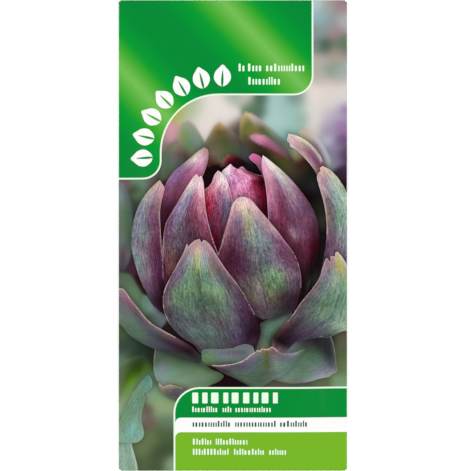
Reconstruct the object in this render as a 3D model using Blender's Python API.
"""A sealed seed packet lying on its back: a folded paper envelope, a foil sachet inside it, and the seeds.

The paper is one printed sheet. Its two wings fold behind the front and overlap in a lap seam, and its
bottom and top flaps fold over the ends of the wings. Metres, +Z up, +Y towards the top of the packet.
The origin is at the middle of the face that the packet lies on.
"""

import math

import bmesh
import bpy

MM = 0.001

# The envelope.
PACKET_WIDTH = 80 * MM
PACKET_HEIGHT = 165 * MM
PAPER = 0.12 * MM
GLUE_GAP = 0.1 * MM  # between two sheets that are glued together
EDGE_GAP = 0.42 * MM  # clear height inside the packet where the front meets its side folds
LAP = 12 * MM  # how far the two wings overlap
TOP_FLAP = 22 * MM
BOTTOM_FLAP = 16 * MM
FLAP_INSET = 0.6 * MM  # the flaps are this much narrower than the packet on each side
FLAP_TAPER = 0.16  # how far a flap's sides lean in, for each unit of its length
FLAP_CORNER = 4 * MM

# The sachet: two webs of foil with a flat seal round the pouch.
SACHET_SIDE_MARGIN = 9 * MM
SACHET_BOTTOM_MARGIN = 22 * MM
SACHET_TOP_MARGIN = 50 * MM
FOIL = 0.08 * MM
SEAL_WIDTH = 8 * MM
PIECE_GAP = 0.3 * MM  # clear space between separate pieces

# The seeds.
SEED_LENGTH = 6.6 * MM
SEED_WIDTH = 3.5 * MM
SEED_THICKNESS = 2.2 * MM
SEED_CLEARANCE = 1.8 * MM  # the least room between two seeds, whichever way they are turned
SEED_FIELD = 0.7  # the share of the pouch's half width and half height that the seeds keep within
SEED_TURN = 2.399963  # radians from one seed's direction to the next, so that no two neighbours line up

# Heights of the layers, from the surface that the packet lies on.
FLAP_Z = 0.0
OUTER_WING_Z = FLAP_Z + PAPER + GLUE_GAP
INNER_WING_Z = OUTER_WING_Z + PAPER + GLUE_GAP
EDGE_Z = INNER_WING_Z + PAPER + EDGE_GAP + PAPER
SACHET_Z = INNER_WING_Z + PAPER + PIECE_GAP
POUCH_FLOOR_Z = SACHET_Z + FOIL
POUCH_ROOM = SEED_THICKNESS + 2 * PIECE_GAP
POUCH_TOP_Z = POUCH_FLOOR_Z + POUCH_ROOM + FOIL
CROWN = POUCH_TOP_Z + PIECE_GAP + PAPER - EDGE_Z  # the front's middle stands this much over its edges

# The sheet's own plan. Its folds are half circles.
RIGHT_FOLD_RADIUS = (EDGE_Z - OUTER_WING_Z) / 2
LEFT_FOLD_RADIUS = (EDGE_Z - INNER_WING_Z) / 2
END_FOLD_RADIUS = (EDGE_Z - FLAP_Z) / 2
FRONT_RIGHT = PACKET_WIDTH / 2 - RIGHT_FOLD_RADIUS
FRONT_LEFT = PACKET_WIDTH / 2 - LEFT_FOLD_RADIUS
FRONT_END = PACKET_HEIGHT / 2 - END_FOLD_RADIUS
FLAP_HALF = PACKET_WIDTH / 2 - FLAP_INSET

# The sachet's plan.
SACHET_HALF_WIDTH = PACKET_WIDTH / 2 - SACHET_SIDE_MARGIN
SACHET_BOTTOM = -PACKET_HEIGHT / 2 + SACHET_BOTTOM_MARGIN
SACHET_TOP = PACKET_HEIGHT / 2 - SACHET_TOP_MARGIN
SACHET_MIDDLE = (SACHET_BOTTOM + SACHET_TOP) / 2
SACHET_HALF_HEIGHT = (SACHET_TOP - SACHET_BOTTOM) / 2
POUCH_HALF_WIDTH = SACHET_HALF_WIDTH - SEAL_WIDTH
POUCH_HALF_HEIGHT = SACHET_HALF_HEIGHT - SEAL_WIDTH

# How steeply the paper and the foil rise from their edges: a higher power gives a flatter top.
PAPER_RISE = 2.6
FOIL_RISE = 6.0

FRONT_COLUMNS = 16
FRONT_ROWS = 20
FOLD_STEPS = 6
FLAP_ROWS = 3
POUCH_COLUMNS = 14
POUCH_ROWS = 18
SEED_SEGMENTS = 10
SEED_RINGS = 7


def clear_scene():
    for obj in list(bpy.data.objects):
        bpy.data.objects.remove(obj)


def make_material(name, colour, roughness, metallic=0.0):
    material = bpy.data.materials.new(name)
    material.use_nodes = True
    shader = material.node_tree.nodes["Principled BSDF"]
    shader.inputs["Base Color"].default_value = (*colour, 1.0)
    shader.inputs["Roughness"].default_value = roughness
    shader.inputs["Metallic"].default_value = metallic
    return material


def add_object(name, bm, material):
    """Makes one named object of a finished bmesh."""
    mesh = bpy.data.meshes.new(name)
    bm.to_mesh(mesh)
    bm.free()
    mesh.shade_smooth()
    mesh.set_sharp_from_angle(angle=math.radians(40))
    mesh.materials.append(material)
    obj = bpy.data.objects.new(name, mesh)
    bpy.context.collection.objects.link(obj)
    return obj


def add_thickness(obj, thickness):
    solidify = obj.modifiers.new("Thickness", "SOLIDIFY")
    solidify.thickness = thickness
    solidify.offset = -1.0
    solidify.use_even_offset = True


def spread(start, end, steps):
    """Evenly spaced values from start to end, both included."""
    return [start + (end - start) * i / steps for i in range(steps + 1)]


def rise(share, power):
    """1 in the middle, 0 at share 1 and beyond, level at both ends."""
    height = 1 - min(abs(share), 1.0) ** power
    return height * height * (3 - 2 * height)


def front_height(x, y):
    """Outer face of the front: level at the edges, and highest over the sachet."""
    across = x / (FRONT_RIGHT if x > 0 else FRONT_LEFT)
    from_middle = y - SACHET_MIDDLE
    reach = FRONT_END - SACHET_MIDDLE if from_middle > 0 else FRONT_END + SACHET_MIDDLE
    return EDGE_Z + CROWN * rise(across, PAPER_RISE) * rise(from_middle / reach, PAPER_RISE)


def round_fold(distance, radius):
    """Where a sheet has got to after this distance past the start of a half-circle fold: (outwards, down)."""
    turn = distance / radius
    if turn < math.pi:
        return radius * math.sin(turn), radius * (1 - math.cos(turn))
    return math.pi * radius - distance, 2 * radius


def folded(u, v):
    """Takes a point of the flat sheet, seen from its printed side, to its place on the packet."""
    if abs(v) > FRONT_END:
        out, down = round_fold(abs(v) - FRONT_END, END_FOLD_RADIUS)
        return u, math.copysign(FRONT_END + out, v), EDGE_Z - down
    if u > FRONT_RIGHT:
        out, down = round_fold(u - FRONT_RIGHT, RIGHT_FOLD_RADIUS)
        return FRONT_RIGHT + out, v, EDGE_Z - down
    if u < -FRONT_LEFT:
        out, down = round_fold(-FRONT_LEFT - u, LEFT_FOLD_RADIUS)
        return -FRONT_LEFT - out, v, EDGE_Z - down
    return u, v, front_height(u, v)


def sheet_columns():
    """The sheet's grid lines across, from the left wing's free edge to the right one's."""
    left_fold = spread(-FRONT_LEFT - math.pi * LEFT_FOLD_RADIUS, -FRONT_LEFT, FOLD_STEPS)
    right_fold = spread(FRONT_RIGHT, FRONT_RIGHT + math.pi * RIGHT_FOLD_RADIUS, FOLD_STEPS)
    wing_reach = LAP / 2
    return (
        [left_fold[0] - FRONT_LEFT - wing_reach, left_fold[0] - FRONT_LEFT / 2]
        + left_fold
        + spread(-FLAP_HALF, FLAP_HALF, FRONT_COLUMNS)
        + right_fold
        + [right_fold[-1] + FRONT_RIGHT / 2, right_fold[-1] + FRONT_RIGHT + wing_reach]
    )


def flap_rows(length):
    """Distances past the end of the front: through the fold, then down the flap to its cut corners."""
    fold = spread(0.0, math.pi * END_FOLD_RADIUS, FOLD_STEPS)[1:]
    flat = spread(fold[-1], fold[-1] + length - FLAP_CORNER, FLAP_ROWS)[1:]
    return fold + flat + [fold[-1] + length]


def flap_width(distance, length):
    """The flap's half width at this distance past the end of the front."""
    past_fold = max(distance - math.pi * END_FOLD_RADIUS, 0.0)
    corner = max(past_fold - (length - FLAP_CORNER), 0.0)
    return FLAP_HALF - FLAP_TAPER * past_fold - corner


def add_flap(bm, first_row, end, length):
    """Adds a flap to the row of points that it grows from. end is 1 at the packet's top and -1 at its bottom."""
    middle = len(first_row) // 2
    row = first_row
    for distance in flap_rows(length):
        half = flap_width(distance, length)
        following = [
            bm.verts.new(folded(half * (i - middle) / middle, end * (FRONT_END + distance)))
            for i in range(len(first_row))
        ]
        for i in range(len(row) - 1):
            corners = [row[i], row[i + 1], following[i + 1], following[i]]
            bm.faces.new(corners if end > 0 else corners[::-1])
        row = following


def make_envelope(material):
    """The printed sheet, folded: the front, its two wings behind it, and the two end flaps over the wings."""
    bm = bmesh.new()
    columns = sheet_columns()
    rows = spread(-FRONT_END, FRONT_END, FRONT_ROWS)
    grid = [[bm.verts.new(folded(u, v)) for u in columns] for v in rows]
    for lower, upper in zip(grid, grid[1:]):
        for i in range(len(columns) - 1):
            bm.faces.new((lower[i], lower[i + 1], upper[i + 1], upper[i]))
    first = columns.index(-FLAP_HALF)
    flap_part = slice(first, first + FRONT_COLUMNS + 1)
    add_flap(bm, grid[-1][flap_part], 1, TOP_FLAP)
    add_flap(bm, grid[0][flap_part], -1, BOTTOM_FLAP)
    envelope = add_object("paper_envelope", bm, material)
    add_thickness(envelope, PAPER)
    return envelope


def pouch_height(x, y):
    """Outer face of the front foil: flat at the seal, raised over the seeds."""
    seal_top = POUCH_FLOOR_Z + PIECE_GAP + FOIL
    lift = rise(x / POUCH_HALF_WIDTH, FOIL_RISE) * rise(y / POUCH_HALF_HEIGHT, FOIL_RISE)
    return seal_top + (POUCH_TOP_Z - seal_top) * lift


def foil_lines(half, pouch_half, steps):
    """Grid lines across the sachet: its two cut edges, and evenly over the pouch between the seals."""
    return [-half] + spread(-pouch_half, pouch_half, steps) + [half]


def make_front_foil(material):
    bm = bmesh.new()
    columns = foil_lines(SACHET_HALF_WIDTH, POUCH_HALF_WIDTH, POUCH_COLUMNS)
    rows = foil_lines(SACHET_HALF_HEIGHT, POUCH_HALF_HEIGHT, POUCH_ROWS)
    grid = [
        [bm.verts.new((x, SACHET_MIDDLE + y, pouch_height(x, y))) for x in columns] for y in rows
    ]
    for lower, upper in zip(grid, grid[1:]):
        for i in range(len(columns) - 1):
            bm.faces.new((lower[i], lower[i + 1], upper[i + 1], upper[i]))
    foil = add_object("sachet_front_foil", bm, material)
    add_thickness(foil, FOIL)
    return foil


def make_back_foil(material):
    """The flat web that the seeds lie on."""
    bm = bmesh.new()
    bmesh.ops.create_cube(bm, size=1.0)
    bmesh.ops.scale(bm, verts=bm.verts, vec=(2 * SACHET_HALF_WIDTH, 2 * SACHET_HALF_HEIGHT, FOIL))
    foil = add_object("sachet_back_foil", bm, material)
    foil.location = (0, SACHET_MIDDLE, SACHET_Z + FOIL / 2)
    return foil


def make_seed_mesh(material):
    """An artichoke seed: a flattened oval, blunt at one end and narrower at the other."""
    bm = bmesh.new()
    bmesh.ops.create_uvsphere(bm, u_segments=SEED_SEGMENTS, v_segments=SEED_RINGS, radius=0.5)
    for vert in bm.verts:
        along, across, up = vert.co.z, vert.co.x, vert.co.y
        taper = 1 - 0.35 * (along + 0.5) ** 2
        vert.co = (along * SEED_LENGTH, across * taper * SEED_WIDTH, up * taper * SEED_THICKNESS)
    mesh = bpy.data.meshes.new("seed")
    bm.to_mesh(mesh)
    bm.free()
    mesh.shade_smooth()
    mesh.materials.append(material)
    return mesh


def seed_lines(pouch_half):
    """Evenly spaced places for seeds along one direction of the pouch, as many as have room to turn."""
    half_field = pouch_half * SEED_FIELD - SEED_LENGTH / 2
    steps = math.floor(2 * half_field / (SEED_LENGTH + SEED_CLEARANCE))
    return spread(-half_field, half_field, steps)


def make_seeds(material):
    """The seeds lie in one loose layer, each turned its own way."""
    mesh = make_seed_mesh(material)
    places = [
        (x, y)
        for y in reversed(seed_lines(POUCH_HALF_HEIGHT))
        for x in seed_lines(POUCH_HALF_WIDTH)
    ]
    for number, (x, y) in enumerate(places, start=1):
        seed = bpy.data.objects.new(f"seed_{number:02d}", mesh)
        seed.location = (x, SACHET_MIDDLE + y, POUCH_FLOOR_Z + PIECE_GAP + SEED_THICKNESS / 2)
        seed.rotation_euler = (0, 0, number * SEED_TURN)
        bpy.context.collection.objects.link(seed)


def main():
    clear_scene()
    make_envelope(make_material("printed_paper", (0.03, 0.32, 0.05), 0.4))
    foil = make_material("foil", (0.78, 0.79, 0.8), 0.3, metallic=1.0)
    make_back_foil(foil)
    make_front_foil(foil)
    make_seeds(make_material("seed_coat", (0.16, 0.11, 0.07), 0.6))


main()
